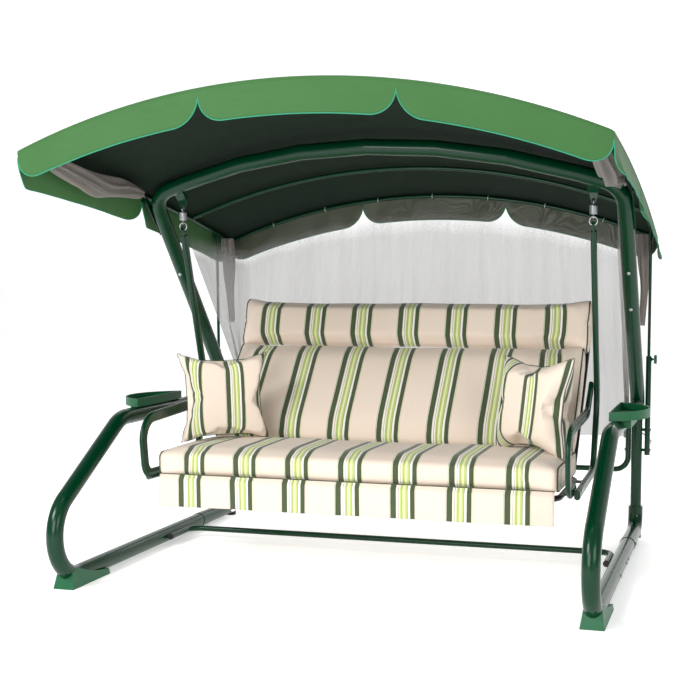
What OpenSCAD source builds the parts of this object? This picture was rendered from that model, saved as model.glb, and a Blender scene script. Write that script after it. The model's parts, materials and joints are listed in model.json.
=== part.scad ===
// Canopy swing bench. Millimetres, +Z up, +X to the right of a person who faces the seat from -Y.
// The origin is on the ground, in the middle of the bench's outline.

/* [Main frame] */
// Half the distance between the centre lines of the two side frames
side_x = 1030; // [1000:5:1040]
// Diameter of the main tubes
main_d = 66; // [60:1:68]
// Diameter of the rear leg tubes
leg_d = 50; // [46:1:52]
// Diameter of the thin cross tubes
thin_d = 26; // [22:1:28]
// Lean of the uprights back from vertical, in degrees
lean_angle = 39.7; // [38:0.1:41]
// How far back the rear legs stand
leg_y = 763; // [755:1:770]
// Height of the centre line of the ground tubes
ground_z = 43; // [42:1:46]
// Height of the tube that carries the tray
arm_tube_z = 624; // [610:1:635]
// Height of the middle of the crossbar's arch
crossbar_top_z = 1745; // [1735:1:1750]
// Radius of the crossbar's arch
crossbar_r = 2450; // [2400:10:2500]
// Slope of the loop tube between the tray and the front knee, in degrees
loop_slope = 31; // [29:0.5:33]
// How far forward the centre line of the loop's nose reaches
nose_y = -882; // [-900:1:-870]

/* [Roof] */
// Half the width between the roof's side rods
roof_x = 1078; // [1076:1:1082]
// How far the roof's end rods stand from the origin, front and rear
roof_y = 940; // [930:1:945]
// Height of the top of the front arch
roof_front_z = 1904; // [1900:1:1912]
// Height of the top of the rear arch
roof_rear_z = 1632; // [1628:1:1640]
// Extra height of the roof halfway between its ends
roof_bow = 38; // [34:1:42]
// Radius of the roof's arch across its width
roof_r = 2820; // [2780:10:2900]
// Diameter of the roof's rods
roof_rod_d = 18; // [16:1:20]
// Height of the hanging valances
valance_h = 125; // [110:1:135]

/* [Seat] */
// Half the distance between the two hangers
hanger_x = 907; // [905:1:910]
// Half the width of the seat cushion
cushion_x = 866; // [850:1:870]
// Height of the underside of the seat cushion
cushion_z = 388; // [384:1:392]
// Thickness of the seat cushion
cushion_t = 104; // [90:1:108]
// Lean of the back back from vertical, in degrees
back_angle = 40; // [36:1:42]

/* [Hidden] */
$fn = 48;

FRAME_GREEN = [0, 0.30, 0.18];
PLASTIC_GREEN = [0.05, 0.38, 0.20];
CANOPY_GREEN = [0.30, 0.53, 0.30];
ZINC = [0.75, 0.77, 0.78];
STRIPE_BASE = [0.89, 0.83, 0.77];
NET_GREY = [0.75, 0.75, 0.75];

// Gap between separate pieces that touch on the real bench
gap = 0.4;
// Half the length of the collar at each end of a bend
collar_half = 0.3;

// Leaning plane of the uprights and the crossbar: its lowest point is on the rear legs
lean_foot_z = 653;
function lean_y(z) = leg_y - tan(lean_angle) * (z - lean_foot_z);
seam_z = 1175;
sleeve_half = 125;
sleeve_d = main_d - 8;
upright_end_z = 560;
upright_bend_r = 120;

// Crossbar: a shallow arch between two corners, in the leaning plane
corner_slope = 20.5;
corner_r = 130;
apex_rise = side_x * tan(corner_slope) - crossbar_r * (1 / cos(corner_slope) - 1);
corner_z = crossbar_top_z - apex_rise * cos(lean_angle);
apex_z = corner_z + side_x * tan(corner_slope) * cos(lean_angle);
// Height and depth of the arch's centre line at a distance x from the middle
function arch_drop(x) = crossbar_r - sqrt(crossbar_r * crossbar_r - x * x);
function crossbar_z(x) = crossbar_top_z - arch_drop(x) * cos(lean_angle);

// Side loop: tray tube, slope, nose and ground tube
loop_top_bend_y = -353;
loop_top_bend_r = 180;
loop_rear_y = 390;
loop_tangent = tan(loop_slope);
loop_vertex_y = loop_top_bend_y - (arm_tube_z - ground_z) / loop_tangent;
// The nose touches the ground line, the slope and the front limit
nose_r = ((nose_y - loop_vertex_y) * sin(loop_slope)) / (1 + cos(loop_slope) - sin(loop_slope));

// Rear elbow and leg
elbow_r = 80;
elbow_top_z = 150;
elbow_socket = 45;
leg_top_z = 618;

// Feet
foot_w = main_d + 22;
front_foot_y = [-832, -545];

// Trays
tray_inner_x = side_x - 20;
tray_depth = 140;
tray_half_length = 212;
tray_middle_y = -22;
tray_z = [arm_tube_z + main_d / 2 + 1, arm_tube_z + main_d / 2 + 36];
tray_wall = 5;
tray_floor = 5;

// Cross tubes, held inside the side frames
cross_end_x = side_x - main_d / 2 - thin_d / 2 - 1;
rear_cross_x = side_x - leg_d / 2 - thin_d / 2 - 1;
lower_cross_y = 216;
lower_cross_end_y = 5;
rear_cross_z = 320;
rear_cross_end_z = 535;
cross_bolts_y = [40, 110];
leg_bolts_z = [415, 510];

// Swing axis at the springs' upper eyes, and rocking axis at their lower rings
swing_y = 30;
swing_z = 1525;
rock_z = 1424;
wire_d = 4.5;
ring_wire_d = 5;
eye_r = 9;
ring_r = 16.5;
small_eye_r = 6.5;
coil_r = 14;
coil_turns = 10;
bracket_hole_d = 16;

// Roof line along the bench
roof_slope = (roof_rear_z - roof_front_z) / (2 * roof_y);
function roof_top_z(y) = (roof_front_z + roof_rear_z) / 2 + roof_slope * y
    + roof_bow * (1 - y * y / (roof_y * roof_y));
function roof_drop(x) = roof_r - sqrt(roof_r * roof_r - x * x);
side_drop = roof_drop(roof_x);
rod_below = 18;
function side_rod_z(y) = roof_top_z(y) - side_drop - rod_below;
cover_t = 4;
cover_x = roof_x + roof_rod_d / 2 + 8;
cover_y = roof_y + roof_rod_d / 2 + 7;
panel_corner_r = valance_h - 22;
valance_t = 3;
// Depth of the top edge of the valances below the roof's top line
valance_top = cover_t + 2.4;

// Roof pivot and struts
pivot_y = -5;
pivot_z = side_rod_z(pivot_y) - 20;
pivot_hole_d = 8.1;
bracket_t = 4;
strut_y = leg_y;
strut_pin_z = side_rod_z(strut_y) - 32;
strut_d = 14;
strut_low_z = 540;
guide_d = 25;
guide_bore_d = 16;
guide_z = [398, 852];
knob_z = 838;
fork_slot = 4;
// The strut's pin runs along this slot in the side rod's lug as the roof tilts
strut_hole_d = 8;
strut_play = 34;

// Net wall
net_t = 6;
net_x = 985;
net_y = 905;
net_z = [455, 1290];
net_side_y = 843;
net_front_y = 314;

// Seat
hanger_w = 40;
hanger_t = 24;
arm_w = 46;
arm_t = 20;
arm_x = hanger_x - hanger_t / 2 - 2 - arm_t / 2;
arm_bolt = [222, 749];
front_bolt = [-300, 395];
rail_d = 24;
rail_z = cushion_z - 22;
rail_x = cushion_x - 30;
rail_front_y = -365;
rail_rear_y = 150;
back_foot = [150, 392];
back_length = 760;
strap_t = 3;

function unit(v) = v / norm(v);
function across(d) = abs(d[0]) < 0.9 ? unit(cross(d, [1, 0, 0])) : unit(cross(d, [0, 1, 0]));

module basis(p, x, y, z) {
    multmatrix([
        [x[0], y[0], z[0], p[0]],
        [x[1], y[1], z[1], p[1]],
        [x[2], y[2], z[2], p[2]],
        [0, 0, 0, 1]
    ]) children();
}

// A straight stretch of the child profile from a to b
module stretch(a, b) {
    d = unit(b - a);
    basis(a, across(d), cross(d, across(d)), d) linear_extrude(norm(b - a)) children();
}

// A hair-thin collar that joins a bend to the straight stretch beside it
module bend_collar(p, d) {
    stretch(p - d * collar_half, p + d * collar_half) scale(1.006) children();
}

// The child profile swept along points, with a rounded bend of radius r[i] at each inner point.
// The profile's first axis lies in the plane of a side view.
module sweep(points, r) {
    last = len(points) - 1;
    dirs = [for (i = [0:last - 1]) unit(points[i + 1] - points[i])];
    turns = [for (i = [1:last - 1]) acos(dirs[i - 1] * dirs[i])];
    cuts = [0, for (i = [1:last - 1]) r[i - 1] * tan(turns[i - 1] / 2), 0];
    for (i = [0:last - 1])
        stretch(points[i] + dirs[i] * cuts[i], points[i + 1] - dirs[i] * cuts[i + 1]) children();
    for (i = [1:last - 1]) {
        inward = unit(dirs[i] - dirs[i - 1] * cos(turns[i - 1]));
        centre = points[i] - dirs[i - 1] * cuts[i] + inward * r[i - 1];
        basis(centre, -inward, dirs[i - 1], cross(-inward, dirs[i - 1]))
            rotate_extrude(angle = turns[i - 1]) translate([r[i - 1], 0]) children();
        bend_collar(points[i] - dirs[i - 1] * cuts[i], dirs[i - 1]) children();
        bend_collar(points[i] + dirs[i] * cuts[i], dirs[i]) children();
    }
}

module round_sweep(points, r, d) {
    sweep(points, r) circle(d = d);
}

// A round bar from a to b
module bar(a, b, d) {
    stretch(a, b) circle(d = d);
}

// A bar along X, centred on x
module x_bar(x, y, z, length, d) {
    translate([x - length / 2, y, z]) rotate([0, 90, 0]) cylinder(h = length, d = d);
}

// A rounded rectangle that is made of exact arcs
module round_rect(w, h, r) {
    square([w - 2 * r, h], center = true);
    square([w, h - 2 * r], center = true);
    for (x = [-1, 1], y = [-1, 1])
        translate([x * (w / 2 - r), y * (h / 2 - r)]) circle(r);
}

// The profile of a flattened tube
module flat_oval(w, t) {
    square([w - t, t], center = true);
    for (x = [-1, 1])
        translate([x * (w - t) / 2, 0]) circle(d = t);
}

module both_sides() {
    children();
    mirror([1, 0, 0]) children();
}

// Extrudes a side-view shape, drawn as [y, z], between two X positions
module side_extrude(x0, x1) {
    translate([x0, 0, 0]) rotate([90, 0, 90]) linear_extrude(x1 - x0) children();
}

// ---------- standing frame, drawn for the right side ----------

module crossbar_shape(d) {
    round_sweep(
        [
            [-side_x, lean_y(seam_z), seam_z],
            [-side_x, lean_y(corner_z), corner_z],
            [0, lean_y(apex_z), apex_z],
            [side_x, lean_y(corner_z), corner_z],
            [side_x, lean_y(seam_z), seam_z]
        ],
        [corner_r, crossbar_r, corner_r], d
    );
}

lean_dir = [0, -sin(lean_angle), cos(lean_angle)];
seam = [side_x, lean_y(seam_z), seam_z];

// The blind hole on both sides of the seam, which holds the joint sleeve
module seam_hole() {
    bar(seam - lean_dir * (sleeve_half + 1), seam + lean_dir * (sleeve_half + 1), sleeve_d + gap);
}

module crossbar() {
    color(FRAME_GREEN) difference() {
        crossbar_shape(main_d);
        both_sides() seam_hole();
    }
}

module upright_shape(d) {
    round_sweep(
        [seam - lean_dir * gap, [side_x, leg_y, lean_foot_z], [side_x, leg_y, upright_end_z]],
        [upright_bend_r], d
    );
}

module upright() {
    color(FRAME_GREEN) difference() {
        upright_shape(main_d);
        seam_hole();
        translate([side_x, leg_y, upright_end_z - 1])
            cylinder(h = leg_top_z - upright_end_z + 2, d = leg_d + gap);
    }
}

module joint_sleeves() {
    color(ZINC) both_sides() bar(seam - lean_dir * sleeve_half, seam + lean_dir * sleeve_half, sleeve_d);
}

module loop_shape(d) {
    round_sweep(
        [
            [side_x, leg_y, arm_tube_z],
            [side_x, loop_top_bend_y, arm_tube_z],
            [side_x, loop_vertex_y, ground_z],
            [side_x, loop_rear_y, ground_z]
        ],
        [loop_top_bend_r, nose_r], d
    );
}

module side_loop() {
    color(FRAME_GREEN) difference() {
        loop_shape(main_d);
        upright_shape(main_d + 2 * gap);
    }
}

module elbow_shape(d) {
    round_sweep(
        [[side_x, loop_rear_y + gap, ground_z], [side_x, leg_y, ground_z], [side_x, leg_y, elbow_top_z]],
        [elbow_r], d
    );
}

module rear_elbow() {
    collar = 70;
    color(FRAME_GREEN) difference() {
        union() {
            elbow_shape(main_d);
            bar([side_x, loop_rear_y + gap, ground_z], [side_x, loop_rear_y + collar, ground_z], main_d + 4);
        }
        translate([side_x, leg_y, elbow_top_z - elbow_socket])
            cylinder(h = elbow_socket + 1, d = leg_d + gap);
    }
}

module rear_leg() {
    color(FRAME_GREEN) translate([side_x, leg_y, elbow_top_z - elbow_socket + gap])
        cylinder(h = leg_top_z - elbow_top_z + elbow_socket - 2 * gap, d = leg_d);
}

// A wedge shoe that the front of the ground tube sits in
module front_foot() {
    front = front_foot_y[0];
    rear = front_foot_y[1];
    color(PLASTIC_GREEN) difference() {
        side_extrude(side_x - foot_w / 2, side_x + foot_w / 2)
            polygon([
                [front, 0], [rear, 0], [rear, 22], [rear - 90, 34], [front + 130, 52], [front + 50, 78],
                [front + 22, 84]
            ]);
        loop_shape(main_d + 2 * gap);
        for (side = [-1, 1])
            translate([side_x + side * foot_w / 2, 0, 0]) rotate([0, side * -9, 0])
                translate([side > 0 ? 0 : -foot_w, front - 50, -20]) cube([foot_w, rear - front + 100, 200]);
    }
}

module rear_foot() {
    translate([side_x, leg_y + 12, 0]) difference() {
        cylinder(h = 34, d = 52);
        translate([0, -200, ground_z]) rotate([-90, 0, 0]) cylinder(h = 400, d = main_d + 2 * gap);
    }
}

module rear_feet() {
    color([0.05, 0.05, 0.05]) both_sides() difference() {
        rear_foot();
        elbow_shape(main_d + 2 * gap);
    }
}

// Plan of the tray: straight on the inner side, an arc on the outer side
module tray_plan(inset) {
    arc_r = (tray_half_length * tray_half_length + tray_depth * tray_depth) / (2 * tray_depth);
    intersection() {
        translate([tray_inner_x + tray_depth - arc_r, tray_middle_y]) circle(arc_r - inset, $fn = 96);
        translate([tray_inner_x + inset, tray_middle_y - arc_r]) square([tray_depth * 2, arc_r * 2]);
    }
}

module side_tray() {
    color(PLASTIC_GREEN) difference() {
        translate([0, 0, tray_z[0]]) linear_extrude(tray_z[1] - tray_z[0]) tray_plan(0);
        translate([0, 0, tray_z[0] + tray_floor]) linear_extrude(tray_z[1]) tray_plan(tray_wall);
    }
    color(PLASTIC_GREEN) tray_saddle();
}

// A block under the tray that sits over the loop tube
module tray_saddle() {
    difference() {
        translate([side_x - 12, tray_middle_y - 130, arm_tube_z]) cube([70, 260, tray_z[0] - arm_tube_z + 1]);
        loop_shape(main_d + 2 * gap);
    }
}

module lower_crossbar() {
    color(FRAME_GREEN) round_sweep(
        [
            [-cross_end_x, lower_cross_end_y, ground_z],
            [-cross_end_x, lower_cross_y, ground_z],
            [cross_end_x, lower_cross_y, ground_z],
            [cross_end_x, lower_cross_end_y, ground_z]
        ],
        [55, 55], thin_d
    );
}

module rear_crossbar() {
    color(FRAME_GREEN) round_sweep(
        [
            [-rear_cross_x, leg_y, rear_cross_end_z],
            [-rear_cross_x, leg_y, rear_cross_z],
            [rear_cross_x, leg_y, rear_cross_z],
            [rear_cross_x, leg_y, rear_cross_end_z]
        ],
        [60, 60], thin_d
    );
}

// Gusset under the crossbar: a sloping plate that ends in an upright tab with the eye hole
module spring_bracket() {
    tab_top = swing_z + 40;
    color(FRAME_GREEN) difference() {
        union() {
            translate([hanger_x, swing_y + 3, 0]) rotate([90, 0, 0]) linear_extrude(6)
                polygon([
                    [-9, swing_z - 11], [9, swing_z - 11], [22, tab_top], [-22, tab_top]
                ]);
            translate([hanger_x - 22, 0, 0]) side_extrude(0, 44)
                polygon([
                    [swing_y + 3, tab_top - 8], [swing_y + 3, tab_top + 8],
                    [lean_y(crossbar_z(hanger_x)), crossbar_z(hanger_x) + 4],
                    [lean_y(crossbar_z(hanger_x)), crossbar_z(hanger_x) - 14],
                    [swing_y - 3, tab_top - 12]
                ]);
        }
        crossbar_shape(main_d + 2 * gap);
        translate([hanger_x, swing_y + 10, swing_z]) rotate([90, 0, 0]) cylinder(h = 20, d = bracket_hole_d);
    }
}

bracket_x = side_x + main_d / 2 + gap;

// Flat strip on the outside of the crossbar's leg, with the pivot pin of the roof at its top
module roof_bracket() {
    low_z = 1420;
    low = [bracket_x, lean_y(low_z), low_z];
    high = [bracket_x, pivot_y, pivot_z];
    color(FRAME_GREEN) {
        side_extrude(bracket_x, bracket_x + bracket_t) {
            translate([low[1], low[2]]) circle(d = 26);
            translate([high[1], high[2]]) circle(d = 26);
            translate([low[1], low[2]])
                rotate(atan2(high[2] - low[2], high[1] - low[1]))
                translate([0, -13]) square([norm(high - low), 26]);
        }
    }
    color(ZINC) {
        translate([bracket_x, pivot_y, pivot_z]) rotate([0, 90, 0])
            cylinder(h = roof_x + 10 - bracket_x, d = pivot_hole_d - 0.1);
        translate([roof_x + 4.5, pivot_y, pivot_z]) rotate([0, 90, 0]) cylinder(h = 6, d = 15);
    }
}

module strut_guide() {
    spacer_x = side_x + leg_d / 2 + gap;
    color(FRAME_GREEN) difference() {
        union() {
            translate([roof_x, strut_y, guide_z[0]]) cylinder(h = guide_z[1] - guide_z[0], d = guide_d);
            for (z = leg_bolts_z)
                translate([spacer_x, strut_y, z]) rotate([0, 90, 0])
                    cylinder(h = roof_x - spacer_x, d = 14);
            translate([roof_x, strut_y, knob_z]) rotate([0, 90, 0]) cylinder(h = guide_d / 2 + 5, d = 16);
        }
        translate([roof_x, strut_y, guide_z[0] + 25]) cylinder(h = guide_z[1], d = guide_bore_d);
        translate([roof_x, strut_y, knob_z]) rotate([0, 90, 0]) cylinder(h = 60, d = 8.1);
    }
}

// Bent wire behind each leg that holds the net back
module wire_hook() {
    x = side_x + 12;
    y = leg_y + leg_d / 2 + 2.5;
    round_sweep([[x, y, 500], [x + 76, y + 32, 428], [x + 22, y + 10, 448]], [8], 4);
}

module wire_hooks() {
    color([0.05, 0.05, 0.05]) both_sides() wire_hook();
}

// Domed bolt head on the face at a, whose outside is towards d
module dome_bolt(a, d) {
    basis(a, across(d), cross(d, across(d)), d) intersection() {
        translate([0, 0, -9]) sphere(r = 14);
        cylinder(h = 10, d = 15);
    }
}

// Side of each tube that faces the person in front of the bench
lean_front = [0, -cos(lean_angle), -sin(lean_angle)];

module frame_bolts() {
    seam_offset = 100;
    color(ZINC) both_sides() {
        for (s = [-1, 1])
            dome_bolt(seam + lean_dir * s * seam_offset + lean_front * (main_d / 2 + gap), lean_front);
        for (y = concat(cross_bolts_y, [-190]))
            dome_bolt([side_x + main_d / 2 + gap, y, ground_z], [1, 0, 0]);
        dome_bolt([side_x + main_d / 2 + 2 + gap, loop_rear_y + 35, ground_z], [1, 0, 0]);
        for (z = leg_bolts_z) {
            dome_bolt([roof_x + guide_d / 2 + gap, strut_y, z], [1, 0, 0]);
            dome_bolt([rear_cross_x - thin_d / 2 - gap, leg_y, z], [-1, 0, 0]);
        }
    }
}

module tube_caps() {
    color([0.03, 0.03, 0.03]) both_sides() {
        translate([cross_end_x, lower_cross_end_y - gap, ground_z]) rotate([90, 0, 0])
            cylinder(h = 5, d = thin_d + 2);
        translate([rear_cross_x, leg_y, rear_cross_end_z + gap]) cylinder(h = 5, d = thin_d + 2);
        translate([roof_x, strut_y, guide_z[0] - 5 - gap]) cylinder(h = 5, d = guide_d + 1);
    }
}

// Net that hangs round the back: a back wall, and two side walls that follow the uprights
module mosquito_net() {
    color(NET_GREY) {
        translate([-net_x, net_y - net_t, net_z[0]]) cube([2 * net_x, net_t, net_z[1] - net_z[0]]);
        both_sides() side_extrude(net_x - net_t, net_x)
            polygon([
                [net_y, net_z[0]], [net_y, net_z[1]], [net_front_y, net_z[1]],
                [net_side_y, lean_foot_z], [net_side_y, net_z[0]]
            ]);
    }
}

// ---------- roof ----------

// An arched rod across the roof, half_span to each side
module arch_rod(y, half_span) {
    half_angle = asin(half_span / roof_r);
    translate([0, y, roof_top_z(y) - rod_below - roof_r]) rotate([90, 0, 0])
        rotate([0, 0, 90 - half_angle])
        rotate_extrude(angle = 2 * half_angle, $fn = 96)
        translate([roof_r, 0]) circle(d = roof_rod_d);
}

module front_rod() {
    color(FRAME_GREEN) arch_rod(-roof_y, roof_x);
}

module rear_rod() {
    color(FRAME_GREEN) arch_rod(roof_y, roof_x);
}

module middle_rib() {
    color(FRAME_GREEN) arch_rod(roof_y / 2, roof_x - roof_rod_d / 2 - 4);
}

module side_rod_shape(d) {
    ends = roof_y - roof_rod_d / 2 - 1;
    points = [for (y = [-ends, -ends / 2, 0, ends / 2, ends]) [roof_x, y, side_rod_z(y)]];
    round_sweep(points, [600, 600, 600], d);
}

// Hanging plate on a side rod: hole_y and hole_z place its hole, play is the slot's extra length
module lug(hole_y, hole_z, hole_d, play, width) {
    difference() {
        side_extrude(roof_x - 1.5, roof_x + 1.5) {
            translate([hole_y - width / 2, hole_z]) square([width, side_rod_z(hole_y) - hole_z]);
            translate([hole_y, hole_z]) circle(d = width);
        }
        side_extrude(roof_x - 5, roof_x + 5) {
            for (s = play > 0 ? [-1, 1] : [0])
                translate([hole_y + s * play / 2, hole_z]) circle(d = hole_d);
            if (play > 0)
                translate([hole_y - play / 2, hole_z - hole_d / 2]) square([play, hole_d]);
        }
    }
}

module side_rod() {
    color(FRAME_GREEN) {
        side_rod_shape(roof_rod_d);
        lug(pivot_y, pivot_z, pivot_hole_d, 0, 24);
        lug(strut_y, strut_pin_z, strut_hole_d, strut_play, 54);
    }
}

// Arched band between two heights below the roof's top line
module roof_band(low, high, half_width) {
    intersection() {
        difference() {
            circle(r = roof_r - high, $fn = 96);
            circle(r = roof_r - low, $fn = 96);
        }
        translate([-half_width, roof_r / 2]) square([2 * half_width, roof_r]);
    }
}

// The cover's stations across and along the roof
cover_columns = 20;
cover_rows = 8;
cover_points = [
    for (lower = [0, 1], j = [0:cover_rows], i = [0:cover_columns])
        let (x = cover_x * (2 * i / cover_columns - 1), y = cover_y * (2 * j / cover_rows - 1))
        [x, y, roof_top_z(y) - roof_drop(x) - lower * cover_t]
];
function cover_index(lower, j, i) = (lower * (cover_rows + 1) + j) * (cover_columns + 1) + i;
function cover_split(a, b, c, d) = [[a, b, c], [a, c, d]];
cover_faces = concat(
    [for (j = [0:cover_rows - 1], i = [0:cover_columns - 1]) each cover_split(
        cover_index(0, j, i), cover_index(0, j + 1, i), cover_index(0, j + 1, i + 1), cover_index(0, j, i + 1))],
    [for (j = [0:cover_rows - 1], i = [0:cover_columns - 1]) each cover_split(
        cover_index(1, j, i), cover_index(1, j, i + 1), cover_index(1, j + 1, i + 1), cover_index(1, j + 1, i))],
    [for (i = [0:cover_columns - 1]) each cover_split(
        cover_index(0, 0, i), cover_index(0, 0, i + 1), cover_index(1, 0, i + 1), cover_index(1, 0, i))],
    [for (i = [0:cover_columns - 1]) each cover_split(
        cover_index(0, cover_rows, i + 1), cover_index(0, cover_rows, i),
        cover_index(1, cover_rows, i), cover_index(1, cover_rows, i + 1))],
    [for (j = [0:cover_rows - 1]) each cover_split(
        cover_index(0, j + 1, 0), cover_index(0, j, 0), cover_index(1, j, 0), cover_index(1, j + 1, 0))],
    [for (j = [0:cover_rows - 1]) each cover_split(
        cover_index(0, j, cover_columns), cover_index(0, j + 1, cover_columns),
        cover_index(1, j + 1, cover_columns), cover_index(1, j, cover_columns))]
);

// Fabric cover: one smooth arched skin
module canopy_cover() {
    color(CANOPY_GREEN) polyhedron(cover_points, cover_faces);
}

// The pointed gap between two panels with round lower corners
module cusp(x, low, r) {
    difference() {
        translate([x - r, low - 60]) square([2 * r, r + 60]);
        for (s = [-1, 1])
            translate([x + s * r, low + r]) circle(r);
        for (s = [-1, 1])
            translate([x + s * r - r, low - 61]) square([2 * r, 0.5]);
    }
}

// End valance: a band under the arch, cut into panels by cusps
module end_valance(y, panels) {
    z = roof_top_z(y);
    step = 2 * cover_x / panels;
    color(CANOPY_GREEN) translate([0, y + valance_t / 2, z - roof_r]) rotate([90, 0, 0])
        linear_extrude(valance_t) difference() {
            roof_band(valance_h, valance_top, cover_x - valance_t - gap);
            for (i = [0:panels])
                rotate(-asin((-cover_x + i * step) / roof_r)) cusp(0, roof_r - valance_h, panel_corner_r);
        }
}

module valance_front() {
    end_valance(-cover_y + valance_t / 2, 3);
}

module valance_rear() {
    end_valance(cover_y - valance_t / 2, 3);
}

// Line of points along the side of the roof, below its top line
function side_line(below, from, to) = [
    for (i = [0:10]) let (y = from + (to - from) * i / 10) [y, roof_top_z(y) - side_drop_at_edge - below]
];

// Side valance: two panels that meet at the roof's middle
module side_valance() {
    end = cover_y - valance_t;
    color(CANOPY_GREEN) side_extrude(cover_x - valance_t, cover_x) difference() {
        polygon(concat(side_line(valance_top, -end, end), side_line(valance_h, end, -end)));
        for (y = [-cover_y, 0, cover_y])
            translate([y, roof_top_z(y) - side_drop_at_edge])
                rotate(atan(roof_slope - 2 * roof_bow * y / (roof_y * roof_y)))
                cusp(0, -valance_h, panel_corner_r);
    }
}

side_drop_at_edge = roof_drop(cover_x);

// Rings on the rear rod that the net hangs from
module net_rings() {
    ring_wire = 2;
    color("white") for (i = [-3:3]) {
        x = i * 280;
        translate([x, roof_y, roof_top_z(roof_y) - rod_below - roof_drop(x)])
            rotate([0, 90 + asin(x / roof_r), 0])
            rotate_extrude() translate([(roof_rod_d + ring_wire + 1) / 2, 0]) circle(d = ring_wire);
    }
}

// ---------- struts and knobs ----------

module strut() {
    color(FRAME_GREEN) difference() {
        union() {
            translate([roof_x, strut_y, strut_low_z])
                cylinder(h = strut_pin_z + 14 - strut_low_z, d = strut_d);
            x_bar(roof_x, strut_y, strut_pin_z, strut_d + 6, 5);
        }
        difference() {
            translate([roof_x - fork_slot / 2, strut_y - 20, strut_pin_z - 32]) cube([fork_slot, 40, 64]);
            x_bar(roof_x, strut_y, strut_pin_z, 60, 5);
        }
    }
}

// Clamp knob with a short screw that points at the strut
module knob() {
    start = roof_x + strut_d / 2 + 0.6;
    head = roof_x + guide_d / 2 + 12;
    color(ZINC) translate([start, strut_y, knob_z]) rotate([0, 90, 0]) cylinder(h = head - start, d = 8);
    color([0.1, 0.25, 0.15]) translate([head, strut_y, knob_z]) rotate([0, 90, 0]) difference() {
        cylinder(h = 12, d = 42);
        for (a = [0:60:359])
            rotate(a) translate([24, 0, -1]) cylinder(h = 14, d = 12);
    }
}

// ---------- springs ----------

// Closed-wound extension spring with an eye at each end
module spring() {
    coil_top = swing_z - 2 * eye_r;
    coil_pitch = wire_d - 0.3;
    coil_low = rock_z + 2 * ring_r + 0.5;
    color(ZINC) translate([hanger_x, swing_y, 0]) {
        translate([0, 0, swing_z - eye_r]) rotate([0, 90, 0])
            rotate_extrude() translate([eye_r, 0]) circle(d = wire_d);
        translate([0, 0, coil_low]) rotate([0, 90, 0])
            rotate_extrude() translate([small_eye_r, 0]) circle(d = wire_d);
        for (i = [0:coil_turns - 1])
            translate([0, 0, coil_top - wire_d / 2 - i * coil_pitch])
                rotate_extrude() translate([coil_r, 0]) circle(d = wire_d);
        for (z = [coil_top - 1, coil_low + small_eye_r])
            x_bar(0, 0, z, 2 * coil_r, wire_d - 0.5);
    }
}

module spring_ring() {
    color(ZINC) translate([hanger_x, swing_y, rock_z + ring_r]) rotate([90, 0, 0])
        rotate_extrude() translate([ring_r, 0]) circle(d = ring_wire_d);
}

// ---------- hanging seat ----------

// Flattened tube that bends round the end of the seat, with a flat drilled tab at its top
module hanger() {
    top = [hanger_x, swing_y, rock_z];
    knee = [hanger_x, 240, 700];
    down = unit(knee - top);
    tab_w = 28;
    tab_t = 12;
    color(FRAME_GREEN) difference() {
        union() {
            sweep([top + down * 24, knee, [hanger_x, 130, 405], [hanger_x, -345, 383]], [260, 90])
                flat_oval(hanger_w, hanger_t);
            side_extrude(hanger_x - tab_t / 2, hanger_x + tab_t / 2) {
                translate([top[1], top[2]]) circle(d = tab_w);
                translate([top[1], top[2]]) rotate(atan2(down[2], down[1]))
                    translate([0, -tab_w / 2]) square([50, tab_w]);
            }
        }
        x_bar(hanger_x, top[1], top[2], 60, 12);
        for (b = [arm_bolt, front_bolt])
            x_bar(hanger_x, b[0], b[1], 60, 8.4);
    }
}

module armrest() {
    color(FRAME_GREEN) difference() {
        sweep(
            [
                [arm_x, arm_bolt[0] + 10, arm_bolt[1] + 8],
                [arm_x, 105, 652],
                [arm_x, -440, 628],
                [arm_x, -412, 395],
                [arm_x, front_bolt[0] + 35, front_bolt[1] - 3]
            ],
            [70, 95, 62]
        ) flat_oval(arm_w, arm_t);
        for (b = [arm_bolt, front_bolt])
            x_bar(arm_x, b[0], b[1], 60, 8.4);
    }
}

module seat_bolts() {
    outer = hanger_x + hanger_t / 2 + gap;
    inner = arm_x - arm_t / 2 - gap;
    color(ZINC) both_sides() {
        for (b = [arm_bolt, front_bolt]) {
            translate([inner, b[0], b[1]]) rotate([0, 90, 0]) cylinder(h = outer - inner + 0.5, d = 8);
            dome_bolt([outer, b[0], b[1]], [1, 0, 0]);
        }
    }
}

// Black frame under the cushion: a rail all the way round and two ears that carry it on the hangers
module seat_frame() {
    r = 60;
    color([0.04, 0.04, 0.04]) {
        round_sweep(
            [
                [0, rail_front_y, rail_z], [rail_x, rail_front_y, rail_z], [rail_x, rail_rear_y, rail_z],
                [-rail_x, rail_rear_y, rail_z], [-rail_x, rail_front_y, rail_z], [0, rail_front_y, rail_z]
            ],
            [r, r, r, r], rail_d
        );
        both_sides() for (y = [rail_front_y + 130, rail_rear_y - 70])
            translate([rail_x, y - 15, rail_z - 4]) cube([hanger_x - hanger_t / 2 - gap - rail_x, 30, 8]);
    }
}

// Flat straps from the front rail to the rear rail
module seat_straps() {
    count = 9;
    span = 2 * (rail_x - 110);
    color([0.08, 0.08, 0.08]) for (i = [0:count - 1])
        translate([-span / 2 + i * span / (count - 1) - 20, rail_front_y - 6, rail_z + rail_d / 2 + gap])
            cube([40, rail_rear_y - rail_front_y + 12, strap_t]);
}

back_dir = [0, sin(back_angle), cos(back_angle)];
back_normal = [0, -cos(back_angle), sin(back_angle)];

// A point of the back: along it from its foot, and out from its middle plane
function back_point(x, along, out) =
    [x, back_foot[0], back_foot[1]] + back_dir * along + back_normal * out;

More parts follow.
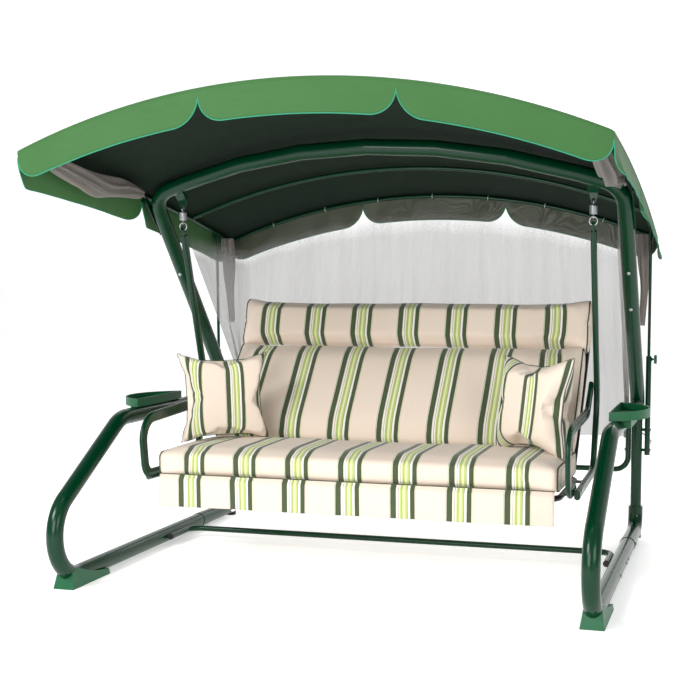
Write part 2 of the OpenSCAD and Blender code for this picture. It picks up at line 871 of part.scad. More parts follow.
module back_frame() {
    half = rail_x - 20;
    out = -26;
    color([0.04, 0.04, 0.04]) {
        round_sweep(
            [
                back_point(-half, 22, out), back_point(-half, back_length, out),
                back_point(half, back_length, out), back_point(half, 22, out)
            ],
            [80, 80], rail_d
        );
        for (along = [180, 380, 570])
            bar(back_point(-half, along, out), back_point(half, along, out), 14);
    }
}

// A plain pad: w wide, with its section's size, centre and turn in the side view
module pad(half_width, section, centre, turn, r) {
    side_extrude(-half_width, half_width)
        translate(centre) rotate(turn) round_rect(section[0], section[1], r);
}

module seat_cushion() {
    front = -396;
    rear = 150;
    color(STRIPE_BASE)
        pad(cushion_x, [rear - front, cushion_t], [(front + rear) / 2, cushion_z + cushion_t / 2], 0, 40);
}

back_pad_t = 90;
// Where the back cushion starts and ends along the back
back_pad = [65, 611];

module back_cushion() {
    middle = back_point(0, (back_pad[0] + back_pad[1]) / 2, back_pad_t / 2 + 2);
    section = [back_pad[1] - back_pad[0], back_pad_t];
    color(STRIPE_BASE) pad(cushion_x - 16, section, [middle[1], middle[2]], 90 - back_angle, 36);
}

headrest_size = [238, 96];

module headrest_cushion() {
    middle = back_point(0, 728, 64);
    color(STRIPE_BASE) pad(cushion_x - 14, headrest_size, [middle[1], middle[2]], 90 - 18, 40);
}

module seat_skirt() {
    color(STRIPE_BASE) translate([-cushion_x + 38, -408, 265]) cube([2 * (cushion_x - 38), 5, 120]);
}

// Square loose pillow that stands in a corner of the seat
module pillow() {
    side = 400;
    thickness = 84;
    color(STRIPE_BASE) translate([670, -50, cushion_z + cushion_t + side / 2 + 12]) rotate([0, 0, -36])
        rotate([-8, 0, 0]) translate([0, thickness / 2, 0]) rotate([90, 0, 0])
        linear_extrude(thickness) round_rect(side, side, 40);
}

crossbar();
upright();  // upright_right
mirror([1, 0, 0]) upright();  // upright_left
side_loop();  // side_loop_right
mirror([1, 0, 0]) side_loop();  // side_loop_left
rear_elbow();  // rear_elbow_right
mirror([1, 0, 0]) rear_elbow();  // rear_elbow_left
rear_leg();  // rear_leg_right
mirror([1, 0, 0]) rear_leg();  // rear_leg_left
front_foot();  // front_foot_right
mirror([1, 0, 0]) front_foot();  // front_foot_left
rear_feet();
side_tray();  // side_tray_right
mirror([1, 0, 0]) side_tray();  // side_tray_left
joint_sleeves();
lower_crossbar();
rear_crossbar();
spring_bracket();  // spring_bracket_right
mirror([1, 0, 0]) spring_bracket();  // spring_bracket_left
roof_bracket();  // roof_bracket_right
mirror([1, 0, 0]) roof_bracket();  // roof_bracket_left
strut_guide();  // strut_guide_right
mirror([1, 0, 0]) strut_guide();  // strut_guide_left
wire_hooks();
frame_bolts();
tube_caps();
mosquito_net();
front_rod();
rear_rod();
middle_rib();
side_rod();  // side_rod_right
mirror([1, 0, 0]) side_rod();  // side_rod_left
canopy_cover();
valance_front();
valance_rear();
side_valance();  // valance_right
mirror([1, 0, 0]) side_valance();  // valance_left
net_rings();
strut();  // strut_right
mirror([1, 0, 0]) strut();  // strut_left
knob();  // knob_right
mirror([1, 0, 0]) knob();  // knob_left
spring();  // spring_right
mirror([1, 0, 0]) spring();  // spring_left
spring_ring();  // spring_ring_right
mirror([1, 0, 0]) spring_ring();  // spring_ring_left
hanger();  // hanger_right
mirror([1, 0, 0]) hanger();  // hanger_left
armrest();  // armrest_right
mirror([1, 0, 0]) armrest();  // armrest_left
seat_frame();
seat_straps();
back_frame();
seat_bolts();
seat_cushion();
back_cushion();
headrest_cushion();
seat_skirt();
pillow();  // pillow_right
mirror([1, 0, 0]) pillow();  // pillow_left
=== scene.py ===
import json
import math
import random

import bmesh
import bpy
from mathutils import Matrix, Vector
from mathutils.bvhtree import BVHTree


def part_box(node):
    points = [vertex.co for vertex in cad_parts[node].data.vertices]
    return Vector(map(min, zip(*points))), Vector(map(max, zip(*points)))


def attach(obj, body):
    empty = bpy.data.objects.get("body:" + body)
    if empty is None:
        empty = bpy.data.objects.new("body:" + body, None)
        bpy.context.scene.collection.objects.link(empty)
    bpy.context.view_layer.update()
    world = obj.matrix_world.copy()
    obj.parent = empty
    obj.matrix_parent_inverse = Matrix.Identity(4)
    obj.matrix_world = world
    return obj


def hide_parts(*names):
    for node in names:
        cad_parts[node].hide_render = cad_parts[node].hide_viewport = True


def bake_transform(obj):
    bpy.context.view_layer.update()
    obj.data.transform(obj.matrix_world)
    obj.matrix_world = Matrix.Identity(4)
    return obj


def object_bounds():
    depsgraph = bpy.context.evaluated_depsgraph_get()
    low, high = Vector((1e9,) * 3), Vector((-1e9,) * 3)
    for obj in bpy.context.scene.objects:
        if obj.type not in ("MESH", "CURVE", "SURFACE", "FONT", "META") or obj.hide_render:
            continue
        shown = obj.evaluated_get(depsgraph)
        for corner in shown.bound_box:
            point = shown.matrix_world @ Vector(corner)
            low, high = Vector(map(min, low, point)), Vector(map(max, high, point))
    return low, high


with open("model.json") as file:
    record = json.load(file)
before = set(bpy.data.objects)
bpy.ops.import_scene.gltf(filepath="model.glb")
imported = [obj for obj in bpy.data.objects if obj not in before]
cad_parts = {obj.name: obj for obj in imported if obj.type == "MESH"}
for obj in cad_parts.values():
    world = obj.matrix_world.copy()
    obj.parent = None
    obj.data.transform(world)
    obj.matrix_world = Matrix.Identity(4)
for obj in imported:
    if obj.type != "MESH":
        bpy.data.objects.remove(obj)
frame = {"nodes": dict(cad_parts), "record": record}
cad_low, cad_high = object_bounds()
nodes = frame["nodes"]
scene = bpy.context.scene


# ---------- small helpers ----------


def srgb(red, green, blue):
    """A colour given as 0 to 255 in a picture, as the linear colour that shaders use."""

    def linear(value):
        value = value / 255
        return value / 12.92 if value <= 0.04045 else ((value + 0.055) / 1.055) ** 2.4

    return (linear(red), linear(green), linear(blue), 1.0)


def smooth_step(t):
    """Goes from 0 to 1 with t, and is level at both ends."""
    t = max(0.0, min(1.0, t))
    return t * t * (3 - 2 * t)


def mix(a, b, t):
    """The value at t on the way from a to b."""
    return a + (b - a) * t


def size_of(node):
    """Size of a CAD node's box."""
    low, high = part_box(node)
    return high - low


def middle_of(node):
    """Middle of a CAD node's box."""
    low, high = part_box(node)
    return (low + high) / 2


def new_piece(name, points, faces, body, material):
    """A mesh piece that rides on a body. body None leaves the riding to the caller."""
    mesh = bpy.data.meshes.new(name)
    mesh.from_pydata([tuple(p) for p in points], [], faces)
    mesh.update()
    for face in mesh.polygons:
        face.use_smooth = True
    piece = bpy.data.objects.new(name, mesh)
    scene.collection.objects.link(piece)
    mesh.materials.append(material)
    if body:
        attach(piece, body)
    return piece


def face_outward(piece):
    """Turns the faces of a closed mesh so that they all look outward."""
    work = bmesh.new()
    work.from_mesh(piece.data)
    bmesh.ops.recalc_face_normals(work, faces=work.faces)
    work.to_mesh(piece.data)
    work.free()


def cloth_coordinates(piece, values):
    """Keeps each point's place on the flat cloth, in metres, for the woven pattern."""
    attribute = piece.data.attributes.new("cloth", "FLOAT_VECTOR", "POINT")
    attribute.data.foreach_set("vector", [c for v in values for c in (v[0], v[1], 0.0)])


def grid_faces(rows, columns, closed=False):
    """Faces of a grid of rows times columns points. A closed grid joins its last column to its first."""
    span = columns if closed else columns - 1
    return [
        (
            r * columns + c,
            r * columns + (c + 1) % columns,
            (r + 1) * columns + (c + 1) % columns,
            (r + 1) * columns + c,
        )
        for r in range(rows - 1)
        for c in range(span)
    ]


def sheet_piece(name, rows, columns, point, body, material, flat_of=None):
    """A sheet made from point(u, v), with u along its width and v from its top to its bottom."""
    points = []
    flats = []
    for r in range(rows):
        for c in range(columns):
            u = c / (columns - 1)
            v = r / (rows - 1)
            points.append(point(u, v))
            flats.append(flat_of(u, v) if flat_of else (points[-1][0], points[-1][1]))
    piece = new_piece(name, points, grid_faces(rows, columns), body, material)
    cloth_coordinates(piece, flats)
    return piece


def thicken(piece, thickness, offset=-1.0):
    """Gives a sheet its thickness: behind it with offset -1, half on each side with 0."""
    modifier = piece.modifiers.new("Thickness", "SOLIDIFY")
    modifier.thickness = thickness
    modifier.offset = offset
    return modifier


def tube_piece(name, paths, radius, body, material, closed=False):
    """Round tubes along one or more paths, as one piece."""
    curve = bpy.data.curves.new(name, "CURVE")
    curve.dimensions = "3D"
    curve.bevel_depth = radius
    curve.bevel_resolution = 3
    curve.use_fill_caps = True
    for path in paths:
        spline = curve.splines.new("POLY")
        spline.points.add(len(path) - 1)
        for i, p in enumerate(path):
            spline.points[i].co = (p[0], p[1], p[2], 1.0)
        spline.use_cyclic_u = closed
        spline.use_smooth = True
    curve.materials.append(material)
    piece = bpy.data.objects.new(name, curve)
    scene.collection.objects.link(piece)
    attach(piece, body)
    return piece


# ---------- materials ----------


class Shader:
    """A node material, with short ways to add and join its nodes."""

    def __init__(self, name):
        self.material = bpy.data.materials.new(name)
        self.material.use_nodes = True
        self.tree = self.material.node_tree
        self.surface = self.tree.nodes["Principled BSDF"]
        self.output = self.tree.nodes["Material Output"]

    def add(self, kind, **settings):
        """Adds a node of a kind."""
        node = self.tree.nodes.new(kind)
        for key, value in settings.items():
            setattr(node, key, value)
        return node

    def join(self, source, target):
        """Links an output to an input."""
        self.tree.links.new(source, target)

    def place(self, attribute=None):
        """Coordinates in metres: on the flat cloth if attribute is given, or else on the object."""
        if attribute:
            return self.add("ShaderNodeAttribute", attribute_name=attribute).outputs["Vector"]
        return self.add("ShaderNodeTexCoord").outputs["Object"]

    def stretched(self, vector, scale):
        """Coordinates scaled by three factors."""
        mapping = self.add("ShaderNodeMapping")
        mapping.inputs["Scale"].default_value = scale
        self.join(vector, mapping.inputs["Vector"])
        return mapping.outputs["Vector"]

    def noise(self, vector, scale, detail=3.0, roughness=0.5):
        """Soft random value from 0 to 1."""
        node = self.add("ShaderNodeTexNoise")
        node.inputs["Scale"].default_value = scale
        node.inputs["Detail"].default_value = detail
        node.inputs["Roughness"].default_value = roughness
        self.join(vector, node.inputs["Vector"])
        return node.outputs["Fac"]

    def wave(self, vector, scale, direction, distortion=0.0):
        """Bands across a direction, from 0 to 1."""
        node = self.add("ShaderNodeTexWave", bands_direction=direction)
        node.inputs["Scale"].default_value = scale
        node.inputs["Distortion"].default_value = distortion
        node.inputs["Detail"].default_value = 1.0
        self.join(vector, node.inputs["Vector"])
        return node.outputs["Fac"]

    def between(self, factor, low, high):
        """Maps a factor from 0..1 to low..high."""
        node = self.add("ShaderNodeMapRange")
        node.inputs["To Min"].default_value = low
        node.inputs["To Max"].default_value = high
        self.join(factor, node.inputs["Value"])
        return node.outputs["Result"]

    def math(self, operation, a, b):
        """Sum, product or the like of two values, each a socket or a number."""
        node = self.add("ShaderNodeMath", operation=operation)
        for i, value in enumerate((a, b)):
            if isinstance(value, (int, float)):
                node.inputs[i].default_value = value
            else:
                self.join(value, node.inputs[i])
        return node.outputs["Value"]

    def blend(self, factor, a, b, mode="MIX"):
        """Mixes two colours, which may be sockets or constants."""
        node = self.add("ShaderNodeMix", data_type="RGBA", blend_type=mode)
        sockets = (node.inputs[0], node.inputs[6], node.inputs[7])
        for socket, value in zip(sockets, (factor, a, b)):
            if isinstance(value, (int, float, tuple)):
                socket.default_value = value
            else:
                self.join(value, socket)
        return node.outputs[2]

    def bump(self, height, strength, distance):
        """Bump of the surface from a height."""
        node = self.add("ShaderNodeBump")
        node.inputs["Strength"].default_value = strength
        node.inputs["Distance"].default_value = distance
        self.join(height, node.inputs["Height"])
        self.join(node.outputs["Normal"], self.surface.inputs["Normal"])

    def set(self, **values):
        """Sets inputs of the surface shader, named in lower case, to sockets or values."""
        for key, value in values.items():
            socket = self.surface.inputs[key.replace("_", " ").title()]
            if isinstance(value, (int, float, tuple)):
                socket.default_value = value
            else:
                self.join(value, socket)


def shade(colour, factor):
    """A colour made lighter or darker by a factor."""
    return (colour[0] * factor, colour[1] * factor, colour[2] * factor, 1.0)


def paint(name, colour, low_rough, high_rough, coat):
    """Powder coat: fine orange peel, faint clouding and a clear gloss."""
    s = Shader(name)
    place = s.place()
    cloud = s.noise(place, 9.0, 4.0)
    peel = s.noise(place, 420.0, 2.0)
    s.set(base_color=s.blend(cloud, shade(colour, 0.85), shade(colour, 1.12)))
    s.set(roughness=s.between(s.noise(place, 60.0), low_rough, high_rough))
    s.surface.inputs["Coat Weight"].default_value = coat
    s.surface.inputs["Coat Roughness"].default_value = 0.08
    s.surface.inputs["Specular IOR Level"].default_value = 0.28
    s.bump(peel, 0.02, 0.0003)
    return s.material


def plastic(name, colour, rough):
    """Moulded plastic: fine grain and slightly scuffed gloss."""
    s = Shader(name)
    place = s.place()
    scuff = s.noise(place, 30.0, 5.0, 0.65)
    grain = s.noise(place, 900.0, 2.0)
    s.set(base_color=s.blend(scuff, shade(colour, 0.88), shade(colour, 1.1)))
    s.set(roughness=s.between(scuff, rough - 0.08, rough + 0.1))
    s.bump(grain, 0.12, 0.0003)
    return s.material


def metal(name, colour, low_rough, high_rough):
    """Zinc-plated steel: cloudy plating with small bright and dull patches."""
    s = Shader(name)
    place = s.place()
    cloud = s.noise(place, 120.0, 4.0, 0.6)
    s.set(base_color=s.blend(cloud, shade(colour, 0.75), colour))
    s.set(roughness=s.between(cloud, low_rough, high_rough))
    s.surface.inputs["Metallic"].default_value = 1.0
    s.bump(s.noise(place, 700.0), 0.05, 0.0002)
    return s.material


def webbing(name, colour):
    """Flat woven strap."""
    s = Shader(name)
    place = s.place("cloth")
    rib = s.wave(place, 160.0, "Y")
    twill = s.wave(place, 90.0, "DIAGONAL", 0.3)
    weave = s.math("MULTIPLY", rib, twill)
    s.set(base_color=s.blend(weave, shade(colour, 0.6), shade(colour, 1.6)))
    s.set(roughness=0.85)
    s.bump(weave, 0.5, 0.0008)
    return s.material


def coated_cloth(name, colour, rough, glow, crinkle, gloss=0.5):
    """Coated polyester: fine plain weave, soft clouding, shallow crinkles with painted shade along them, and
    some light through it.
    """
    s = Shader(name)
    place = s.place()
    weave = s.math("MULTIPLY", s.wave(place, 330.0, "X"), s.wave(place, 330.0, "Y"))
    cloud = s.noise(place, 3.5, 4.0, 0.55)
    folds = s.noise(s.stretched(place, (9.0, 9.0, 5.0)), 1.6, 6.0, 0.6)
    toned = s.blend(cloud, shade(colour, 0.9), shade(colour, 1.08))
    # Painted shade: the colour darkens towards 0.45 of itself where the crinkle noise is high, the same noise
    # that bumps the surface
    crinkle_shaded = s.blend(s.between(folds, 0.0, crinkle), toned, shade(colour, 0.45))
    woven = s.blend(s.between(weave, 0.0, 0.12), crinkle_shaded, shade(colour, 0.5))
    s.set(base_color=woven, roughness=s.between(folds, rough - 0.08, rough + 0.1))
    s.surface.inputs["Sheen Weight"].default_value = 0.3 * gloss
    s.surface.inputs["Specular IOR Level"].default_value = gloss
    s.bump(s.math("ADD", s.math("MULTIPLY", weave, 0.12), folds), 0.35, 0.004 * (0.3 + crinkle))
    through = s.add("ShaderNodeBsdfTranslucent")
    s.join(woven, through.inputs["Color"])
    both = s.add("ShaderNodeMixShader")
    both.inputs["Fac"].default_value = glow
    s.join(s.surface.outputs["BSDF"], both.inputs[1])
    s.join(through.outputs["BSDF"], both.inputs[2])
    s.join(both.outputs["Shader"], s.output.inputs["Surface"])
    return s.material


# Depth of the net's top edge where it lies flat and shows the valance behind it
NET_THIN_TOP = 0.17


def netting(name, colour, open_share):
    """Fine mesh netting: mostly see-through, denser in streaks where it lies in folds."""
    s = Shader(name)
    place = s.place("cloth")
    streak = s.noise(s.stretched(place, (26.0, 1.1, 1.0)), 1.0, 5.0, 0.6)
    fine = s.noise(s.stretched(place, (160.0, 5.0, 1.0)), 1.0, 3.0, 0.6)
    cells = s.math("MULTIPLY", s.wave(place, 260.0, "X"), s.wave(place, 260.0, "Y"))
    tone = s.math("ADD", s.math("MULTIPLY", streak, 0.7), s.math("MULTIPLY", fine, 0.3))
    s.set(base_color=s.blend(tone, shade(colour, 0.7), shade(colour, 1.15)))
    s.set(roughness=s.between(fine, 0.55, 0.8))
    s.surface.inputs["Sheen Weight"].default_value = 0.4
    s.bump(s.math("ADD", tone, s.math("MULTIPLY", cells, 0.1)), 0.3, 0.003)
    through = s.add("ShaderNodeBsdfTranslucent")
    through.inputs["Color"].default_value = colour
    body = s.add("ShaderNodeMixShader")
    body.inputs["Fac"].default_value = 0.45
    s.join(s.surface.outputs["BSDF"], body.inputs[1])
    s.join(through.outputs["BSDF"], body.inputs[2])
    clear = s.add("ShaderNodeBsdfTransparent")
    both = s.add("ShaderNodeMixShader")
    down = s.add("ShaderNodeSeparateXYZ")
    s.join(place, down.inputs["Vector"])
    thin_top = s.math("SUBTRACT", 1.0, s.math("MULTIPLY", down.outputs["Y"], 1 / NET_THIN_TOP))
    holes = s.between(tone, open_share + 0.25, open_share - 0.25)
    s.join(s.math("ADD", holes, s.math("MAXIMUM", thin_top, 0.0)), both.inputs["Fac"])
    s.join(body.outputs["Shader"], both.inputs[1])
    s.join(clear.outputs["BSDF"], both.inputs[2])
    s.join(both.outputs["Shader"], s.output.inputs["Surface"])
    return s.material


# Distance from one group of stripes to the next, and where a group starts, both across the bench
STRIPE_PITCH = 0.229
STRIPE_START = -0.742
BASE = srgb(247, 232, 216)
OLIVE = srgb(72, 88, 56)
CREAM = srgb(252, 246, 236)
BROWN = srgb(140, 104, 88)
WHITE = srgb(250, 250, 243)
LIME = srgb(196, 214, 128)
PALE = srgb(238, 246, 190)
TEAL = srgb(140, 186, 160)
# One group of stripes: each colour and the part of the pitch where it starts
STRIPES = [
    (0.0, TEAL), (0.007, BASE), (0.018, OLIVE), (0.118, CREAM), (0.158, BROWN), (0.166, WHITE),
    (0.19, LIME), (0.215, OLIVE), (0.22, LIME), (0.24, PALE), (0.28, LIME), (0.318, OLIVE),
    (0.325, WHITE), (0.37, OLIVE), (0.452, BASE), (0.462, LIME), (0.469, BASE),
]


def striped_cloth(name, pitch, start):
    """Ribbed cotton with woven stripes that run along the cloth."""
    s = Shader(name)
    place = s.place("cloth")
    across = s.add("ShaderNodeSeparateXYZ")
    s.join(place, across.inputs["Vector"])
    wander = s.math("MULTIPLY", s.math("SUBTRACT", s.noise(place, 40.0), 0.5), 0.0012)
    # Counted from a start that lies 20 groups to the left, so that all places are positive
    moved = s.math("SUBTRACT", s.math("ADD", across.outputs["X"], wander), start - 20 * pitch)
    share = s.math("FRACT", s.math("DIVIDE", moved, pitch), 0.0)
    ramp = s.add("ShaderNodeValToRGB")
    ramp.color_ramp.interpolation = "CONSTANT"
    stops = ramp.color_ramp.elements
    while len(stops) < len(STRIPES):
        stops.new(0.5)
    for stop, (position, colour) in zip(stops, STRIPES):
        stop.position = position
        stop.color = colour
    s.join(share, ramp.inputs["Fac"])
    rib = s.wave(place, 105.0, "X", 0.2)
    thread = s.wave(place, 230.0, "Y", 0.4)
    slub = s.noise(s.stretched(place, (300.0, 25.0, 1.0)), 1.0, 3.0, 0.7)
    weave = s.math("ADD", s.math("MULTIPLY", rib, 0.6), s.math("MULTIPLY", thread, 0.4))
    toned = s.blend(s.between(weave, 0.05, 0.2), ramp.outputs["Color"], srgb(190, 165, 148), "MULTIPLY")
    mottled = s.blend(s.between(slub, 0.0, 0.22), toned, srgb(214, 196, 180), "MULTIPLY")
    s.set(base_color=mottled, roughness=s.between(slub, 0.8, 0.95))
    s.surface.inputs["Sheen Weight"].default_value = 0.25
    s.bump(s.math("ADD", weave, s.math("MULTIPLY", slub, 0.6)), 0.35, 0.0009)
    return s.material


def piping_cloth(name, colour):
    """Bound edge or piping: fine diagonal threads."""
    s = Shader(name)
    place = s.place()
    twist = s.wave(place, 130.0, "DIAGONAL", 0.5)
    s.set(base_color=s.blend(twist, shade(colour, 0.7), shade(colour, 1.2)), roughness=0.85)
    s.bump(twist, 0.3, 0.0005)
    return s.material


green_paint = paint("green_powder_coat", srgb(0, 52, 29), 0.18, 0.28, 0.08)
black_paint = paint("black_paint", srgb(20, 20, 21), 0.3, 0.45, 0.2)
green_plastic = plastic("green_plastic", srgb(10, 92, 54), 0.42)
black_plastic = plastic("black_plastic", srgb(22, 22, 23), 0.55)
white_plastic = plastic("white_plastic", srgb(236, 236, 232), 0.35)
zinc = metal("zinc", srgb(205, 208, 212), 0.2, 0.42)
strap_weave = webbing("strap_weave", srgb(34, 34, 36))
canopy_green = coated_cloth("canopy_green", srgb(60, 106, 56), 0.6, 0.08, 0.04, 0.2)
# Underside of the cover: a dark green of its own, darkened further as painted shade under the roof
dark_underside_and_shade = coated_cloth("dark_underside_and_shade", srgb(24, 38, 29), 0.8, 0.0, 0.25, 0.05)
canopy_satin = coated_cloth("canopy_satin", srgb(78, 84, 60), 0.38, 0.15, 0.75)
net_cloth = netting("net_cloth", srgb(180, 179, 178), 0.3)
# Gathered net: less open, as gathered cloth is, and darker and browner as painted shade inside the gathers
dense_shaded_net = netting("dense_shaded_net", srgb(158, 150, 144), 0.14)
stripes = striped_cloth("stripes", STRIPE_PITCH, STRIPE_START)
pillow_stripes = striped_cloth("pillow_stripes", STRIPE_PITCH * 0.83, -0.19)
teal_binding = piping_cloth("teal_binding", srgb(44, 138, 104))
dark_piping = piping_cloth("dark_piping", srgb(66, 78, 54))

FINISHES = {
    "frame_paint": green_paint,
    "green_plastic": green_plastic,
    "black_plastic": black_plastic,
    "zinc": zinc,
    "black_paint": black_paint,
    "strap": strap_weave,
    "white_plastic": white_plastic,
    "net": net_cloth,
    "canopy_fabric": canopy_green,
    "striped_fabric": stripes,
}


def finish_nodes():
    """Gives every CAD node the material of its slot, and softens the edges of moulded and welded parts."""
    slots = {row["node"]: row["material_slot"] for row in frame["record"]["subparts"]}
    for name, node in nodes.items():
        node.data.materials.clear()
        node.data.materials.append(FINISHES[slots[name]])
    for name in ("side_tray_left", "side_tray_right", "front_foot_left", "front_foot_right",
                 "spring_bracket_left", "spring_bracket_right", "roof_bracket_left", "roof_bracket_right"):
        bevel = nodes[name].modifiers.new("Soft edge", "BEVEL")
        bevel.width = 0.0018
        bevel.segments = 2
        bevel.limit_method = "ANGLE"
        bevel.angle_limit = math.radians(40)


# ---------- roof ----------

cover_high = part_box("canopy_cover")[1]
cover_x = cover_high.x
cover_y = cover_high.y
rod_y = middle_of("rear_rod").y
rib_y = middle_of("middle_rib").y


def tree_of(name):
    """Search tree of a CAD node's faces, for rays."""
    mesh = nodes[name].data
    return BVHTree.FromPolygons([v.co for v in mesh.vertices], [tuple(p.vertices) for p in mesh.polygons])


cover_tree = tree_of("canopy_cover")


def cad_roof_z(x, y):
    """Height of the top of the CAD cover over a point of the plan."""
    return cover_tree.ray_cast(Vector((x, y, 5.0)), Vector((0, 0, -1)))[0].z


# The cover is an arc across the bench and a shallow curve along it: three heights and one drop give it
ridge_front = cad_roof_z(0, -cover_y + 0.0002)
ridge_middle = cad_roof_z(0, 0)
ridge_rear = cad_roof_z(0, cover_y - 0.0002)
edge_drop = ridge_middle - cad_roof_z(cover_x - 0.0002, 0)
arch_radius = (cover_x ** 2 + edge_drop ** 2) / (2 * edge_drop)


def roof_z(x, y):
    """Height of the smooth top of the roof over a point of the plan."""
    t = y / cover_y
    bow = ridge_middle - (ridge_front + ridge_rear) / 2
    ridge = (ridge_front + ridge_rear) / 2 + (ridge_rear - ridge_front) / 2 * t + bow * (1 - t * t)
    return ridge - arch_radius + math.sqrt(arch_radius ** 2 - x * x)


# Deepest sag of the cloth between two rods, and the radius that it turns over the edge with
CLOTH_SAG = 0.008
EDGE_ROLL = 0.012


def cover_sag(x, y):
    """How far the cloth hangs between the rods that it lies on."""
    supports = [-rod_y, rib_y, rod_y]
    sag = 0.0
    for a, b in zip(supports, supports[1:]):
        if a < y < b:
            sag = CLOTH_SAG * math.sin(math.pi * (y - a) / (b - a)) ** 2
    return sag * max(0.0, 1 - (x / cover_x) ** 4)


def edge_roll(distance):
    """Drop of the cloth where it turns over the edge."""
    if distance >= EDGE_ROLL:
        return 0.0
    return EDGE_ROLL - math.sqrt(max(0.0, EDGE_ROLL * EDGE_ROLL - (EDGE_ROLL - distance) ** 2))


def edge_spaced(t, half):
    """Spaces points along a side, closer together near both ends."""
    return -half * math.cos(math.pi * t)


def cover_point(u, v):
    """Point of the cover, with u from left to right and v from front to rear."""
    x = edge_spaced(u, cover_x)
    y = edge_spaced(v, cover_y)
    drop = edge_roll(cover_x - abs(x)) + edge_roll(cover_y - abs(y))
    return Vector((x, y, roof_z(x, y) - cover_sag(x, y) - min(drop, EDGE_ROLL)))


def build_cover():
    """The canopy's cover: green cloth, with a dark green underside that is darkened further as painted shade
    under the roof.
    """
    cover = sheet_piece("canopy", 73, 97, cover_point, "roof", canopy_green)
    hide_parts("canopy_cover")
    # The inside of the thickened cloth takes the dark underside with its painted shade
    cover.data.materials.append(dark_underside_and_shade)
    thickness = thicken(cover, 0.0025)
    thickness.material_offset = 1


VALANCE_HEIGHT = 0.125
CUSP_RADIUS = 0.098
# A valance hangs this far inside the cover's edge, from this far below the cover's top
VALANCE_INSET = 0.002
VALANCE_BELOW = 0.004


def panel_depth(distance):
    """Height of the valance at a distance from the nearest cusp."""
    if distance >= CUSP_RADIUS:
        return VALANCE_HEIGHT
    rise = CUSP_RADIUS - math.sqrt(max(0.0, CUSP_RADIUS ** 2 - (CUSP_RADIUS - distance) ** 2))
    return VALANCE_HEIGHT - rise


def build_valance(name, node, panels, length, place, flare, wrinkle, material, columns=46):
    """A row of panels with round lower corners. place(s, depth, out) gives the point at s along the edge."""
    stations = []
    for panel in range(panels):
        for i in range(columns + (panel == panels - 1)):
            share = (1 - math.cos(math.pi * i / columns)) / 2
            stations.append((panel + share) * length / panels)
    rows = 13
    points = []
    flats = []
    for r in range(rows):
        v = r / (rows - 1)
        for s in stations:
            near = abs(s / (length / panels) - round(s / (length / panels))) * length / panels
            depth = panel_depth(near) * v
            phase = s * 17.0 + depth * 9.0
            ripple = wrinkle * v * (math.sin(phase) + 0.6 * math.sin(phase * 2.3 + 1.0))
            out = flare * v * v * smooth_step(near / 0.12) + ripple
            points.append(place(s - length / 2, depth, out))
            flats.append((s, depth))
    piece = new_piece(name, points, grid_faces(rows, len(stations)), "roof", material)
    cloth_coordinates(piece, flats)
    thicken(piece, 0.0018, 0.0)
    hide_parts(node)
    binding = tube_piece(name + "_binding", [points[-len(stations):]], 0.0024, "roof",
                         teal_binding)


def end_place(side):
    """Places a point of the front (side -1) or rear (side 1) valance."""
    edge = side * (cover_y - VALANCE_INSET)

    def place(s, depth, out):
        x = max(-cover_x + VALANCE_INSET, min(cover_x - VALANCE_INSET, s))
        return Vector((x, edge + side * out, roof_z(x, edge) - VALANCE_BELOW - depth))

    return place


def side_place(side):
    """Places a point of the left (side -1) or right (side 1) valance."""
    edge = side * (cover_x - VALANCE_INSET)

    def place(s, depth, out):
        y = max(-cover_y + VALANCE_INSET, min(cover_y - VALANCE_INSET, s))
        return Vector((edge + side * out, y, roof_z(edge, y) - VALANCE_BELOW - depth))

    return place


def build_valances():
    """The four valances: three panels in front and behind, two at each side."""
    width = 2 * cover_x - 2 * VALANCE_INSET
    depth = 2 * cover_y - 2 * VALANCE_INSET
    build_valance("front_valance", "valance_front", 3, width, end_place(-1), 0.006, 0.0012, canopy_green)
    build_valance("rear_valance", "valance_rear", 3, width, end_place(1), 0.004, 0.0035, canopy_satin)
    for side, word in ((-1, "left"), (1, "right")):
        build_valance(word + "_valance", "valance_" + word, 2, depth, side_place(side), 0.03, 0.0015,
                      canopy_green)


# ---------- mosquito net ----------

net_low, net_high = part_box("mosquito_net")
# Radius of the net's rear corners, and the share of its points on each side wall
NET_CORNER = 0.05
NET_SIDE_SHARE = 0.14
# Length of net that its folds and its weave are spread over
NET_LENGTH = 2.6
# The net hangs this far behind the uprights, which lean forward above LEAN_LOW
NET_BEHIND = 0.08
UPRIGHT_LEAN = math.radians(39.7)
LEAN_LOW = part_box("rear_leg_right")[1].z + 0.035
upright_y = middle_of("rear_leg_right").y


def net_front(z):
    """How far forward the net's side walls reach at a height: they follow the leaning uprights."""
    rise = max(0.0, z - LEAN_LOW)
    return upright_y + NET_BEHIND - rise * math.tan(UPRIGHT_LEAN)


def net_plan(u, z):
    """Plan of the net at u along it: a point and the way out, round the left side, the back and the right."""
    side = -1 if u < 0.5 else 1
    share = min(u, 1 - u)
    front = net_front(z)
    if share < NET_SIDE_SHARE:
        y = mix(front, net_high.y - NET_CORNER, share / NET_SIDE_SHARE)
        return side * net_high.x, y, (side, 0.0)
    # The curve of a corner is 0.57 of its radius longer than the side of the corner
    along = (share - NET_SIDE_SHARE) / (0.5 - NET_SIDE_SHARE) * (net_high.x + 0.57 * NET_CORNER)
    turn = math.pi / 2 * NET_CORNER
    if along < turn:
        angle = along / NET_CORNER
        x = net_high.x - NET_CORNER + NET_CORNER * math.cos(angle)
        y = net_high.y - NET_CORNER + NET_CORNER * math.sin(angle)
        return side * x, y, (side * math.cos(angle), math.sin(angle))
    return side * (net_high.x - NET_CORNER - along + turn), net_high.y, (0.0, 1.0)


